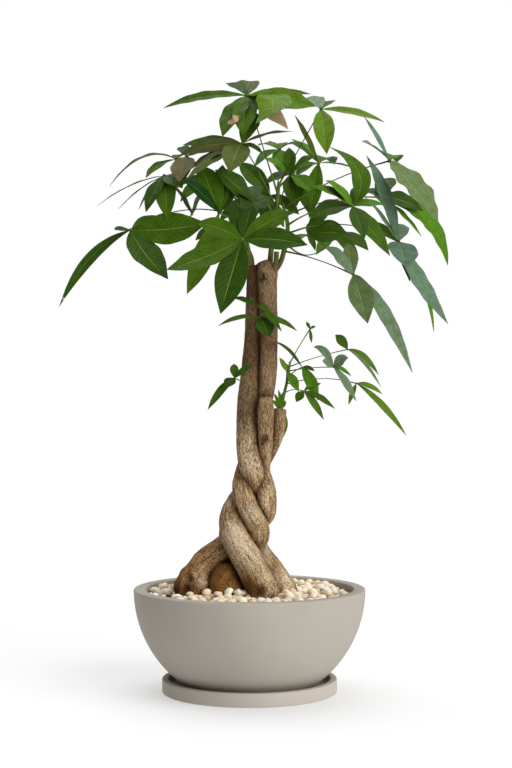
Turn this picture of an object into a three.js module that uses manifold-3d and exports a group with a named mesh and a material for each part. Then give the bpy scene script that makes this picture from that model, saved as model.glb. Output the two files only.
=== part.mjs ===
import * as THREE from 'three';
import { mergeVertices } from 'three/addons/utils/BufferGeometryUtils.js';
import Module from 'manifold-3d';

const wasm = await Module();
wasm.setup();

// Driving dimensions, in millimetres. The origin is the centre of the saucer's underside.
const CLEARANCE = 0.3;
const SAUCER_RADIUS = 135.8;
const SAUCER_HEIGHT = 21;
const SAUCER_WALL = 10.8;
const SAUCER_FLOOR = 8.7;
const SAUCER_EDGE = 2;
const BOWL_RADIUS = 180;
const BOWL_RIM_HEIGHT = 159.8;
const BOWL_WALL = 18.5;
const BOWL_FLOOR = 16;
const BOWL_RIM_ROUND = 2.5;
const BOWL_FOOT_HEIGHT = SAUCER_FLOOR + CLEARANCE;
const OUTER_BANDS = 6;
const INNER_BANDS = 3;
const SOIL_TOP = 136;
const BED_TOP = 145;
const BED_RADIUS = 157.5;
const BED_FLARE = 1;
const PEBBLE_PITCH = 38;
const PEBBLE_RING_STEP = 33;
const PEBBLE_RADIUS = 16.5;
const PEBBLE_SIDES = 5;
const PEBBLE_HEIGHT = 13;
const PEBBLE_SINK = 3;
const PEBBLE_SEED = 7;
const ROUND_SEGMENTS = 36;
const STEM_SIDES = 10;
const STEM_STEP = 30;
const SHOOT_SIDES = 6;
const SHOOT_STEPS = 4;
const STALK_RADIUS = 1.5;
const STALK_SIDES = 4;
const STALK_STEPS = 4;
const HUB_RADIUS = 3.4;
const BLADE_THICKNESS = 0.8;
const BLADE_FOLD = 0.2;
const BROAD_BLADE_WIDTH = 32;
const BROAD_STATIONS = [0.2, 0.42, 0.64, 0.86];
const NARROW_STATIONS = [0.24, 0.54, 0.82];
const BLADE_BASE_POWER = 1.1;
const BLADE_TIP_POWER = 0.75;

// Braided stems: points of each centre line from its top down, as right, back, up and radius.
const STEMS = {
  stem_left: [
    [8, 4, 659, 9.5], [7, 4, 640, 10], [6, 4, 608, 10.8], [4, 4, 545, 11.6], [0, 3, 489, 13.2],
    [-3, 1, 450, 14.4], [-4, -2, 412, 15.3], [-2, -8, 370, 16.5], [3, -11, 346, 17], [9, -8, 324, 16],
    [12, 6, 302, 15], [12, 22, 279, 15], [8, 32, 252, 15.5], [4, 36, 225, 16], [6, 40, 200, 17.5],
    [12, 40, 175, 18], [14, 38, 120, 17],
  ],
  stem_middle: [
    [21, 2, 665, 11], [26, 1, 652, 16], [27, 1, 634, 15], [28, 0, 600, 14], [29, 0, 564, 13.8],
    [29, 0, 530, 13.5], [28, 1, 495, 13], [25, 6, 468, 12.8], [20, 18, 440, 13], [12, 27, 410, 13],
    [4, 30, 380, 13], [-3, 22, 355, 13.5], [-9, 4, 335, 13.5], [-11, -12, 316, 14.5],
    [-4, -22, 291, 15.5], [7, -26, 268, 16.8], [14, -22, 249, 16.5], [11, -10, 229, 15], [20, 0, 208, 16],
    [34, -2, 189, 17], [45, -4, 171, 18], [55, -4, 150, 18.5], [58, -4, 120, 17],
  ],
  stem_front: [
    [25, -18, 454, 9.5], [25, -19, 436, 11.5], [25, -16, 400, 10.5], [24, -9, 372, 10],
    [21, 0, 352, 10.5], [20, 1, 340, 11.5], [23, -6, 326, 13], [26, -15, 309, 14.5], [26, -17, 291, 15],
    [24, -8, 277, 15.5], [14, 6, 264, 15.5], [-3, 12, 249, 16], [-22, 10, 237, 17], [-38, 5, 222, 19],
    [-55, 2, 209, 20.5], [-70, -1, 199, 21], [-81, -4, 187, 21.5], [-88, -5, 170, 23], [-88, -6, 150, 25],
    [-88, -6, 120, 23],
  ],
  stem_right: [
    [47, -4, 436, 9], [45, -4, 412, 10], [38, 0, 388, 10.5], [29, 8, 370, 11], [19, 19, 353, 11.5],
    [10, 27, 338, 12], [2, 31, 326, 12.5], [-6, 29, 312, 13], [-16, 20, 300, 13.5], [-23, 6, 288, 14.5],
    [-28, -10, 272, 17], [-26, -22, 256, 19.5], [-18, -28, 234, 21], [-4, -32, 209, 22],
    [11, -34, 181, 23], [24, -36, 153, 22.5], [28, -36, 120, 20],
  ],
  stem_low: [
    [-30, -6, 206, 11], [-34, -9, 192, 20], [-37, -12, 172, 28], [-34, -14, 150, 31], [-34, -14, 120, 29],
  ],
};

// Shoots: green shoots that grow out of the cut stems, as points with radius, from the root up.
const SHOOTS = {
  shoot_left: [
    [3, 4, 656, 4.2], [0, 1, 674, 4], [-5, 2, 700, 3.8], [-9, 4, 732, 3.4], [-16, 6, 768, 2.9],
    [-18, 10, 792, 2.5],
  ],
  shoot_middle: [
    [31, 6, 660, 4.4], [34, 9, 690, 4.2], [38, 12, 722, 3.8], [42, 13, 755, 3.4], [46, 12, 792, 2.8],
  ],
  shoot_right: [
    [36, 3, 648, 3.4], [47, 2, 664, 4], [54, 2, 686, 4], [59, 4, 710, 3.6], [58, 6, 735, 3.2],
    [52, 8, 756, 2.6],
  ],
  shoot_stub: [
    [34, -9, 646, 4], [40, -11, 662, 4.2], [42, -11, 682, 4],
  ],
  shoot_sprig: [
    [48, -6, 432, 2.6], [51, -5, 450, 2.6], [58, -3, 480, 2.2], [63, -2, 512, 1.7],
  ],
};

// Palmate leaves: carrier, root of the stalk, hub, rise of the stalk, direction the blades face,
// and the leaflets: right, back and up from the hub to the tip, width, arch, roll and sway.
const LEAVES = {
  fan_front: ['shoot_left', [-1, 1, 677], [-10, -120, 691], 0, [-0.1, -0.95, 0.4], [
    [96, -20, -10, 34, 4, 0], [74, 15, 43, 28, 4, 0], [15, 40, 55, 24, 4, 0], [-10, 50, 55, 28, 4, 0],
    [-69, 10, 26, 28, 4, 0], [-111, -30, -47, 36, -4, 0], [-32, -35, -112, 42, 2, 0],
  ]],
  fan_behind: ['shoot_left', [-7, 3, 712], [-46, -60, 737], 4, [0, -1, 0.3], [
    [-55, -50, 45, 17, 6, 0], [-30, 10, 74, 38, 4, 0], [5, 20, 76, 28, 4, 0], [-48, -25, -125, 30, -6, 0],
    [22, 20, 42, 20, 3, 0],
  ]],
  left_low: ['shoot_left', [-10, 4, 735], [-180, -60, 711], 22, [0.1, -0.6, 0.8], [
    [-108, -10, -118, 14, 17, -35, -10], [60, -60, -79, 52, 0, 0], [116, -25, 8, 44, -4, 44],
    [58, 50, 14, 20, 12, 0], [100, 50, 14, 24, 8, 0], [-22, -35, -3, 18, 0, 0],
  ]],
  left_mid: ['shoot_left', [-12, 5, 746], [-131, -30, 797], 10, [-0.3, -0.3, 0.9], [
    [-104, 10, -45, 11, 3, 0], [-74, 40, -47, 9, 6, 0], [-44, 60, -46, 10, 8, 0],
    [-26, -35, -60, 26, 6, 0], [8, -50, -74, 30, 8, 0], [30, -40, -24, 26, 4, 0],
  ]],
  left_high: ['shoot_left', [-16, 6, 765], [-116, 40, 832], 12, [-0.2, -0.3, 0.9], [
    [-105, -10, -44, 26, 19, 0], [-45, -50, -36, 30, 6, 0], [10, 50, 14, 24, 4, 0],
  ]],
  left_near: ['shoot_left', [-14, 6, 757], [-97, -20, 828], 6, [-0.1, -0.6, 0.8], [
    [-9, -55, -46, 34, 4, 0], [48, -30, 8, 22, 4, 0], [-4, -20, -40, 20, 4, 0], [-12, 50, 22, 18, 4, 0],
  ]],
  front_upper: ['shoot_left', [-8, 3, 724], [4, -40, 756], 2, [0, -0.8, 0.6], [
    [-57, -20, 46, 34, 4, 0], [6, 44, 30, 24, 4, 0], [-20, -30, 10, 14, 2, 0], [20, -46, -16, 22, 4, 0],
  ]],
  top: ['shoot_middle', [44, 12, 774], [-4, -20, 922], 0, [0, -0.3, 0.95], [
    [-131, 30, -14, 18, 9, -30], [-33, 60, 30, 24, 6, 0], [4, 84, 38, 32, 6, 0],
    [64, 12, -50, 28, 6, 0], [108, -20, -22, 40, 6, 50], [13, -66, -54, 50, 12, 0, 34],
    [-6, -58, -70, 34, 4, 0], [-41, -50, -67, 38, 6, 0],
  ]],
  top_front: ['shoot_middle', [42, 13, 752], [-11, -60, 842], 4, [0, -0.5, 0.85], [
    [-93, -30, -21, 18, 6, -30], [-18, -60, -52, 38, 6, 0], [76, -20, 15, 14, 5, 0],
    [24, 24, 50, 28, 4, 0], [-92, 40, 4, 20, 4, -30], [31, -30, -20, 12, 4, 0], [-82, 6, -40, 30, 4, 0],
    [-84, -26, -58, 28, 4, 0],
  ]],
  top_right: ['shoot_middle', [46, 12, 789], [112, 20, 908], 0, [0, -0.3, 0.95], [
    [99, -10, -22, 16, 6, 30], [7, -50, -78, 30, 6, 0], [-25, 70, 20, 31, 6, 0], [16, 80, 18, 28, 6, 0],
  ]],
  back_right: ['shoot_middle', [45, 12, 784], [112, 110, 836], 8, [0, -0.3, 0.95], [
    [-44, 30, 44, 24, 4, 0], [-39, 0, 78, 14, 2, 0], [84, 20, -17, 22, 6, 0], [-38, -30, -26, 24, 6, 0],
    [-16, -20, -92, 26, 4, 0], [30, 90, 10, 28, 10, 0],
  ]],
  mid_back: ['shoot_middle', [44, 12, 768], [48, 100, 856], 4, [0, -0.3, 0.95], [
    [-4, 70, 18, 26, 6, 0], [-35, 30, 11, 20, 6, 0], [-40, -20, -30, 22, 6, 0],
    [48, -10, -11, 16, 14, 0], [6, -40, -50, 26, 6, 0], [30, 20, -70, 26, 6, 0],
  ]],
  mid_front: ['shoot_middle', [40, 12, 738], [64, 24, 806], 4, [0, -0.5, 0.85], [
    [-40, -10, 23, 22, 4, 0], [-2, 10, 44, 14, 4, 0], [31, -20, 26, 22, 4, 0], [-36, 4, -14, 22, 4, 0],
    [8, -10, -54, 28, 6, 0], [38, -22, -30, 26, 4, 0],
  ]],
  mid_low: ['shoot_middle', [38, 12, 724], [32, 24, 772], 4, [0, -0.6, 0.8], [
    [-50, 20, 56, 31, 4, 0], [-22, -40, -26, 28, 4, 0], [6, 52, 2, 24, 4, 0],
  ]],
  back_left: ['shoot_left', [-18, 9, 787], [-62, 150, 814], 6, [0, 0.3, 0.95], [
    [-56, 62, -30, 26, 8, 0], [-62, 6, -14, 24, 8, 0], [6, 88, -26, 28, 8, 0], [48, 60, -22, 26, 8, 0],
    [-38, -20, -70, 28, 4, 0],
  ]],
  back_middle: ['shoot_middle', [41, 13, 747], [12, 146, 782], 8, [0, 0.3, 0.95], [
    [-64, 44, -34, 26, 8, 0], [-20, 92, -44, 28, 10, 0], [46, 78, -40, 28, 8, 0], [-42, -10, -50, 24, 4, 0],
    [30, 10, -66, 26, 4, 0],
  ]],
  back_low: ['shoot_left', [-5, 2, 698], [-38, 120, 722], 10, [0, 0.4, 0.9], [
    [-52, 30, -8, 26, 8, 0], [-30, 84, -30, 26, 10, 0], [46, 66, -66, 28, 8, 0], [-10, 20, -50, 22, 4, 0],
  ]],
  back_side: ['shoot_right', [57, 3, 695], [140, 150, 722], -24, [0, 0.4, 0.9], [
    [60, 60, -20, 26, 8, 0], [24, 80, -14, 28, 10, 0], [-40, 70, -6, 26, 8, 0], [40, 10, -40, 24, 4, 0],
    [-30, 20, -30, 22, 4, 0],
  ]],
  right_high: ['shoot_right', [53, 8, 752], [215, -30, 820], 8, [0.1, -0.4, 0.9], [
    [-38, 20, 72, 10, 4, 0], [-45, -40, 24, 30, 4, 0], [56, 40, -41, 18, 10, 0],
    [70, -40, -102, 54, 12, 0], [20, 90, 10, 28, 10, 0],
  ]],
  right_front: ['shoot_right', [58, 5, 724], [154, -110, 741], 10, [0, -0.6, 0.8], [
    [-42, -20, 36, 30, 4, 0], [-60, -40, 24, 32, 4, 0], [-35, 20, 92, 28, 4, 0, 28],
    [24, 60, 41, 24, 4, 0], [50, 30, 5, 24, 4, 0], [14, -50, -53, 24, 4, 0], [53, -30, -76, 28, 6, 0, -3],
    [-64, -6, -18, 32, 6, 0],
  ]],
  right_out: ['shoot_right', [59, 4, 712], [228, -40, 695], 20, [0.1, -0.5, 0.85], [
    [-49, 0, 132, 24, 4, 0, 4], [-55, -20, 68, 17, 4, 0], [7, 60, 33, 28, 4, 0], [-55, 30, 36, 20, 4, 0],
    [6, -60, -44, 44, 4, 0], [74, -20, -127, 28, 4, 0, -7], [17, -10, -63, 14, 4, 0],
    [58, 34, -138, 14, 6, 0, 10],
  ]],
  right_back: ['shoot_right', [57, 6, 740], [210, 90, 778], 10, [0.1, -0.3, 0.95], [
    [22, 50, 38, 31, 4, 0], [65, 40, -18, 28, 6, 40], [67, 0, -63, 20, 6, 0],
    [113, 30, -108, 30, 24, 20, 22], [10, 90, 0, 28, 10, 0], [-42, 44, 18, 36, 4, 0],
  ]],
  right_low: ['shoot_right', [54, 2, 684], [158, -60, 643], 4, [0, -0.6, 0.8], [
    [-9, 10, 49, 26, 4, 0], [-43, -20, 41, 26, 4, 30], [34, 30, -24, 10, 4, 0], [17, -40, -72, 36, 4, 0],
    [88, -20, -150, 22, 22, 0],
  ]],
  right_inner: ['shoot_right', [58, 4, 702], [93, 60, 714], 4, [0, -0.4, 0.9], [
    [62, -10, 1, 36, 6, 0], [62, 20, -56, 28, 6, -30], [11, -20, -27, 10, 4, 0], [-20, 80, -10, 26, 6, 0],
    [30, 80, 20, 28, 6, 0],
  ]],
  sprout_upper: ['stem_middle', [20, -6, 602], [13, -50, 596], 2, [0, -0.7, 0.7], [
    [-39, -10, 11, 12, 3, 0], [16, -20, -9, 10, 2, 0], [36, -20, -40, 12, 4, 0],
  ]],
  sprout_lower: ['stem_middle', [20, -6, 588], [15, -52, 579], 2, [0, -0.7, 0.7], [
    [-63, 0, -14, 10, 6, 0], [16, -14, -31, 26, 2, 0], [58, 10, -21, 13, 6, 0],
  ]],
  sprout_left: ['stem_front', [31, -24, 449], [-23, -34, 486], 4, [0, -0.7, 0.7], [
    [-1, 10, 22, 12, 2, 0], [29, -10, 18, 12, 3, 0], [-41, -10, -49, 13, 5, 0],
    [-14, -20, -16, 16, 2, 0],
  ]],
  sprig_top: ['shoot_sprig', [63, -2, 510], [95, 26, 563], 2, [0, -0.7, 0.7], [
    [-6, 4, 14, 6, 1, 0], [2, -6, -22, 7, 1, 0], [9, 4, 7, 6, 1, 0],
  ]],
  sprig_left: ['shoot_sprig', [59, -3, 487], [82, 8, 503], 2, [0, -0.7, 0.7], [
    [-46, -32, 39, 10, 8, 0], [25, -6, -52, 14, 4, 0], [20, 4, -6, 8, 2, 0],
  ]],
  sprig_far: ['shoot_sprig', [62, -2, 504], [153, 10, 531], 6, [0, -0.7, 0.7], [
    [-19, 4, 23, 12, 2, 0], [50, 10, -41, 12, 6, 0], [51, -10, -60, 12, 6, 0],
  ]],
  sprig_mid: ['shoot_sprig', [60, -3, 497], [130, -20, 503], 6, [0, -0.7, 0.7], [
    [-30, 4, 32, 14, 3, 0], [-16, -20, -18, 18, 2, 0], [8, -22, -22, 18, 2, 0], [35, 4, -53, 12, 4, 0],
    [28, 12, -14, 10, 3, 0],
  ]],
  sprig_out: ['shoot_sprig', [57, -3, 477], [168, 26, 478], -4, [0, -0.7, 0.7], [
    [41, 6, -17, 12, 3, 0], [79, 0, -83, 9, 8, 0], [-13, -8, -34, 12, 2, 0],
  ]],
  sprig_low: ['shoot_sprig', [54, -4, 463], [84, -10, 466], 4, [0, -0.7, 0.7], [
    [-11, -6, -16, 9, 1, 0], [31, -4, -43, 14, 4, 0], [49, 6, -28, 12, 4, 0],
  ]],
  sprig_near: ['shoot_sprig', [56, -4, 471], [58, -10, 496], 2, [0, -0.7, 0.7], [
    [18, -6, -31, 14, 2, 0], [-12, -4, 22, 8, 1, 0], [-4, 6, 14, 8, 1, 0],
  ]],
};

const UP = new THREE.Vector3(0, 0, 1);

function finish(color, roughness, side = THREE.FrontSide) {
  return new THREE.MeshStandardMaterial({ color, roughness, metalness: 0, side });
}

const MATERIALS = {
  saucer: finish(0xafa8a0, 0.75),
  bowl: finish(0xb3aca2, 0.7),
  soil: finish(0x3f3328, 0.95),
  pebble: finish(0xf0e6d2, 0.6),
  bark: finish(0x8f7350, 0.85),
  shoot: finish(0x4f6a2c, 0.6),
  leaf: finish(0x3f6d22, 0.45, THREE.DoubleSide),
};

// A geometry with its shared corners merged, ready to be joined or cut.
function solid(geometry) {
  geometry.deleteAttribute('normal');
  geometry.deleteAttribute('uv');
  const merged = mergeVertices(geometry, 1e-4);
  const mesh = new wasm.Mesh({
    numProp: 3,
    vertProperties: new Float32Array(merged.attributes.position.array),
    triVerts: new Uint32Array(merged.index.array),
  });
  mesh.merge();
  return new wasm.Manifold(mesh);
}

function geometryOf(manifold) {
  const mesh = manifold.getMesh();
  const geometry = new THREE.BufferGeometry();
  geometry.setAttribute('position', new THREE.BufferAttribute(mesh.vertProperties, 3));
  geometry.setIndex(new THREE.BufferAttribute(mesh.triVerts, 1));
  geometry.computeVertexNormals();
  return geometry;
}

// The largest connected body, without loose scraps that a cut leaves.
function largestBody(manifold) {
  const bodies = manifold.decompose();
  return bodies.reduce((best, body) => (body.volume() > best.volume() ? body : best));
}

// A closed round rod along a smooth curve: a cylinder bent over the curve, its radius from the points.
function rod(points, sides, steps, grow = 0) {
  const places = points.map(([x, y, z]) => new THREE.Vector3(x, y, z));
  const curve = new THREE.CatmullRomCurve3(places);
  const frames = curve.computeFrenetFrames(steps);
  const geometry = new THREE.CylinderGeometry(1, 1, 1, sides, steps);
  const position = geometry.attributes.position;
  for (let i = 0; i < position.count; i += 1) {
    const step = Math.round((position.getY(i) + 0.5) * steps);
    const u = step / steps;
    const along = curve.getUtoTmapping(u) * (points.length - 1);
    const before = Math.min(Math.floor(along), points.length - 2);
    const radius = THREE.MathUtils.lerp(points[before][3], points[before + 1][3], along - before);
    const place = curve.getPointAt(u);
    if (step === 0) place.addScaledVector(frames.tangents[step], -grow);
    if (step === steps) place.addScaledVector(frames.tangents[step], grow);
    place.addScaledVector(frames.binormals[step], position.getX(i) * (radius + grow));
    place.addScaledVector(frames.normals[step], position.getZ(i) * (radius + grow));
    position.setXYZ(i, place.x, place.y, place.z);
  }
  return solid(geometry);
}

// Half the width of a blade at a share of its length, as a share of its greatest half width.
function bladeShape(t) {
  const shape = (at) => at ** BLADE_BASE_POWER * (1 - at) ** BLADE_TIP_POWER;
  return shape(t) / shape(BLADE_BASE_POWER / (BLADE_BASE_POWER + BLADE_TIP_POWER));
}

// One leaflet: a thin blade that arches on its way to the tip. A broad one is also folded along its
// midrib, and a narrow one is flat across.
function blade(hub, face, [right, back, up, width, arch, roll, sway = 0]) {
  const start = new THREE.Vector3(...hub);
  const chord = new THREE.Vector3(right, back, up);
  const bend = new THREE.Vector3(sway, 0, arch);
  const facing = new THREE.Vector3(...face).normalize();
  const broad = width >= BROAD_BLADE_WIDTH;
  const stations = broad ? BROAD_STATIONS : NARROW_STATIONS;
  const across = broad ? [-1, 0, 1] : [-1, 1];
  const corners = [];
  const faces = [];
  const middle = (t) => start.clone().addScaledVector(chord, t).addScaledVector(bend, 4 * t * (1 - t));
  const frameAt = (t) => {
    const along = chord.clone().addScaledVector(bend, 4 * (1 - 2 * t)).normalize();
    const side = along.clone().cross(facing).normalize();
    const normal = side.clone().cross(along);
    side.applyAxisAngle(along, THREE.MathUtils.degToRad(roll));
    normal.applyAxisAngle(along, THREE.MathUtils.degToRad(roll));
    return { side, normal };
  };
  const add = (point, normal) => {
    for (const lift of [BLADE_THICKNESS / 2, -BLADE_THICKNESS / 2]) {
      corners.push(...point.clone().addScaledVector(normal, lift).toArray());
    }
  };
  add(start, frameAt(0).normal);
  for (const t of stations) {
    const { side, normal } = frameAt(t);
    const half = (width / 2) * bladeShape(t);
    for (const share of across) {
      const point = middle(t).addScaledVector(side, share * half);
      point.addScaledVector(normal, broad ? Math.abs(share) * half * BLADE_FOLD : 0);
      add(point, normal);
    }
  }
  add(middle(1), frameAt(1).normal);

  // Corner numbers: each point has its upper corner, then its lower one.
  const rowSize = across.length * 2;
  const tip = 2 + stations.length * rowSize;
  const quad = (a, b, c, d) => faces.push(a, b, c, a, c, d);
  const row = (station) => 2 + station * rowSize;
  for (let strip = 0; strip < rowSize - 2; strip += 2) {
    const first = row(0) + strip;
    const final = row(stations.length - 1) + strip;
    faces.push(0, first + 2, first, 1, first + 1, first + 3);
    faces.push(tip, final, final + 2, tip + 1, final + 3, final + 1);
    for (let station = 0; station < stations.length - 1; station += 1) {
      const a = row(station) + strip;
      const b = row(station + 1) + strip;
      quad(a, a + 2, b + 2, b);
      quad(b + 1, b + 3, a + 3, a + 1);
    }
  }
  const leftEdge = stations.map((t, station) => row(station)).reverse();
  const rightEdge = stations.map((t, station) => row(station) + rowSize - 2);
  const loop = [0, ...rightEdge, tip, ...leftEdge];
  loop.forEach((corner, i) => {
    const next = loop[(i + 1) % loop.length];
    quad(corner, corner + 1, next + 1, next);
  });

  const geometry = new THREE.BufferGeometry();
  geometry.setAttribute('position', new THREE.Float32BufferAttribute(corners, 3));
  geometry.setIndex(faces);
  return solid(geometry);
}

// A solid of revolution about the vertical axis, from [radius, height] corners and arcs.
function turned(profile) {
  const points = profile.map(([radius, height]) => new THREE.Vector2(radius, height));
  const geometry = new THREE.LatheGeometry(points, ROUND_SEGMENTS);
  geometry.rotateX(Math.PI / 2);
  return solid(geometry);
}

// Points on a circle round [centreRadius, centreHeight], between two angles in degrees.
function arc(centreRadius, centreHeight, radius, from, to, steps) {
  return Array.from({ length: steps + 1 }, (_, i) => {
    const angle = THREE.MathUtils.degToRad(from + ((to - from) * i) / steps);
    return [centreRadius + radius * Math.cos(angle), centreHeight + radius * Math.sin(angle)];
  });
}

// The angle below the horizontal at which a bowl of this radius reaches a height.
function bowlAngle(radius, height) {
  return -THREE.MathUtils.radToDeg(Math.asin((BOWL_RIM_HEIGHT - height) / radius));
}

function makeSaucer() {
  const inner = SAUCER_RADIUS - SAUCER_WALL;
  const edge = SAUCER_EDGE;
  return turned([
    [0, 0],
    ...arc(SAUCER_RADIUS - edge, edge, edge, -90, 0, 1),
    ...arc(SAUCER_RADIUS - edge, SAUCER_HEIGHT - edge, edge, 0, 90, 1),
    ...arc(inner + edge, SAUCER_HEIGHT - edge, edge, 90, 180, 1),
    [inner, SAUCER_FLOOR + edge],
    [inner - edge, SAUCER_FLOOR],
    [0, SAUCER_FLOOR],
  ]);
}

// Angles at which the inside of the bowl is facetted, from the soil's surface down to the floor.
function innerAngles() {
  const inner = BOWL_RADIUS - BOWL_WALL;
  return [bowlAngle(inner, SOIL_TOP), bowlAngle(inner, BOWL_FOOT_HEIGHT + BOWL_FLOOR)];
}

function makeBowl() {
  const round = BOWL_RIM_ROUND;
  const inner = BOWL_RADIUS - BOWL_WALL;
  const rim = BOWL_RIM_HEIGHT;
  return turned([
    [0, BOWL_FOOT_HEIGHT],
    ...arc(0, rim, BOWL_RADIUS, bowlAngle(BOWL_RADIUS, BOWL_FOOT_HEIGHT), -1, OUTER_BANDS),
    ...arc(BOWL_RADIUS - round, rim - round, round, 0, 90, 1),
    ...arc(inner + round, rim - round, round, 90, 180, 1),
    ...arc(0, rim, inner, ...innerAngles(), INNER_BANDS),
    [0, BOWL_FOOT_HEIGHT + BOWL_FLOOR],
  ]);
}

// The soil fills the bowl up to the layer of pebbles.
function makeSoil() {
  const radius = BOWL_RADIUS - BOWL_WALL - CLEARANCE;
  const wall = arc(0, BOWL_RIM_HEIGHT, radius, ...innerAngles(), INNER_BANDS).reverse();
  return turned([[0, wall[0][1]], ...wall, [0, wall[wall.length - 1][1]]]);
}

// A repeatable draw between two values.
function drawFrom(seed) {
  let state = seed;
  return (low, high) => {
    state = (state * 16807) % 2147483647;
    return low + ((high - low) * state) / 2147483647;
  };
}

// One layer of stones on a thin bed that covers the soil, laid in rings from the wall to the middle.
function makePebbles() {
  const draw = drawFrom(PEBBLE_SEED);
  const bottom = SOIL_TOP + CLEARANCE;
  const bed = [[0, bottom], [BED_RADIUS, bottom], [BED_RADIUS + BED_FLARE, BED_TOP], [0, BED_TOP]];
  const stones = [turned(bed)];
  for (let ring = BED_RADIUS - PEBBLE_RADIUS; ring > 0; ring -= PEBBLE_RING_STEP) {
    const count = Math.floor((2 * Math.PI * ring) / PEBBLE_PITCH);
    const turn = draw(0, 1);
    for (let i = 0; i < count; i += 1) {
      const angle = ((i + turn + draw(0, 0.06)) / count) * 2 * Math.PI;
      const width = PEBBLE_RADIUS * draw(0.88, 1);
      const stone = new THREE.CylinderGeometry(draw(0.5, 0.62), 1, PEBBLE_HEIGHT, PEBBLE_SIDES);
      stone.rotateX(Math.PI / 2);
      stone.scale(width, width * draw(0.84, 0.98), 1);
      stone.rotateZ(draw(0, 2 * Math.PI));
      const height = BED_TOP + PEBBLE_HEIGHT / 2 - draw(0, PEBBLE_SINK);
      stone.translate(ring * Math.cos(angle), ring * Math.sin(angle), height);
      stones.push(solid(stone));
    }
  }
  return wasm.Manifold.union(stones);
}

function stepsAlong(points, step) {
  let length = 0;
  for (let i = 1; i < points.length; i += 1) {
    length += Math.hypot(...[0, 1, 2].map((axis) => points[i][axis] - points[i - 1][axis]));
  }
  return Math.round(length / step);
}

function stem(name, grow = 0) {
  return rod(STEMS[name], STEM_SIDES, stepsAlong(STEMS[name], STEM_STEP), grow);
}

function shoot(name, grow = 0) {
  return rod(SHOOTS[name], SHOOT_SIDES, SHOOT_STEPS, grow);
}

// A palmate leaf: its stalk, the hub at the end of the stalk, and the leaflets that spread from it.
function makeLeaf(root, hub, rise, face, leaflets) {
  const start = new THREE.Vector3(...root);
  const stop = new THREE.Vector3(...hub);
  const stalk = [0, 0.25, 0.5, 0.75, 1].map((t) => {
    const place = start.clone().lerp(stop, t).addScaledVector(UP, 4 * t * (1 - t) * rise);
    return [...place.toArray(), STALK_RADIUS];
  });
  const knot = new THREE.OctahedronGeometry(HUB_RADIUS, 0).translate(...hub);
  const pieces = [rod(stalk, STALK_SIDES, STALK_STEPS), solid(knot)];
  for (const leaflet of leaflets) pieces.push(blade(hub, face, leaflet));
  return wasm.Manifold.union(pieces);
}

const group = new THREE.Group();

function place(name, manifold, material) {
  const mesh = new THREE.Mesh(geometryOf(manifold), material);
  mesh.name = name;
  group.add(mesh);
}

place('saucer', makeSaucer(), MATERIALS.saucer);
place('bowl', makeBowl(), MATERIALS.bowl);

// The stems in front keep their round shape, and those behind are pressed in where they meet.
const stemOrder = ['stem_middle', 'stem_right', 'stem_front', 'stem_left', 'stem_low'];
const grownStems = {};
for (const name of stemOrder) {
  const cut = Object.values(grownStems).reduce((body, other) => body.subtract(other), stem(name));
  place(name, largestBody(cut), MATERIALS.bark);
  grownStems[name] = stem(name, CLEARANCE);
}

// The stems stand in plain holes in the soil and in the layer of pebbles.
const holes = wasm.Manifold.union(Object.values(grownStems));
place('soil', largestBody(makeSoil().subtract(holes)), MATERIALS.soil);
place('pebbles', largestBody(makePebbles().subtract(holes)), MATERIALS.pebble);

// Shoots start at the cut stems, and leaf stalks start at their shoot or stem.
const carriers = { ...grownStems };
for (const name of Object.keys(SHOOTS)) {
  place(name, largestBody(shoot(name).subtract(holes)), MATERIALS.shoot);
  carriers[name] = shoot(name, CLEARANCE);
}
for (const [name, [carrier, root, hub, rise, face, leaflets]] of Object.entries(LEAVES)) {
  const leaf = makeLeaf(root, hub, rise, face, leaflets).subtract(carriers[carrier]);
  place(`leaf_${name}`, largestBody(leaf), MATERIALS.leaf);
}

export default group;
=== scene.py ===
import math
import random

import bmesh
import bpy
import numpy as np
from mathutils import Matrix, Vector, noise


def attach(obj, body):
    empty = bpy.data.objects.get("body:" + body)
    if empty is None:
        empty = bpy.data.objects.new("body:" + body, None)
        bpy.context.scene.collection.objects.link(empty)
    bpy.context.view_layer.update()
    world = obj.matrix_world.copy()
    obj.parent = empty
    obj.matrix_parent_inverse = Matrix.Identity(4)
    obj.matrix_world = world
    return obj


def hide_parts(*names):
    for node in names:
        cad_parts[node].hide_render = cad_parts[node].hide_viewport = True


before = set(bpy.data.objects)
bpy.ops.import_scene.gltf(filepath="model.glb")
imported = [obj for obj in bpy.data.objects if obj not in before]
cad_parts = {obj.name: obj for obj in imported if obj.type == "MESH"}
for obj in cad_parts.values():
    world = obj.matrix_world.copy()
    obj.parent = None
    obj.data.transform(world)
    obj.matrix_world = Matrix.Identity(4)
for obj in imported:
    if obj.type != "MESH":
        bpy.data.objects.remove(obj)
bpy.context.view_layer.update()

# Saucer. A shallow round dish of the same grey cast stone as the pot: a thick upright wall round a
# flat floor, with all its edges softly rounded. It stands on the ground and carries the pot.
SAUCER_RADIUS = 0.1358
SAUCER_HEIGHT = 0.021
SAUCER_WALL = 0.0108
SAUCER_FLOOR = 0.0087
EDGE_ROUND = 0.002
ROUND_SIDES = 128


def paint(red, green, blue):
    """A screen colour, 0 to 255, as Blender's linear colour."""
    steps = [value / 255 for value in (red, green, blue)]
    return (*[s / 12.92 if s <= 0.04045 else ((s + 0.055) / 1.055) ** 2.4 for s in steps], 1)


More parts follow.
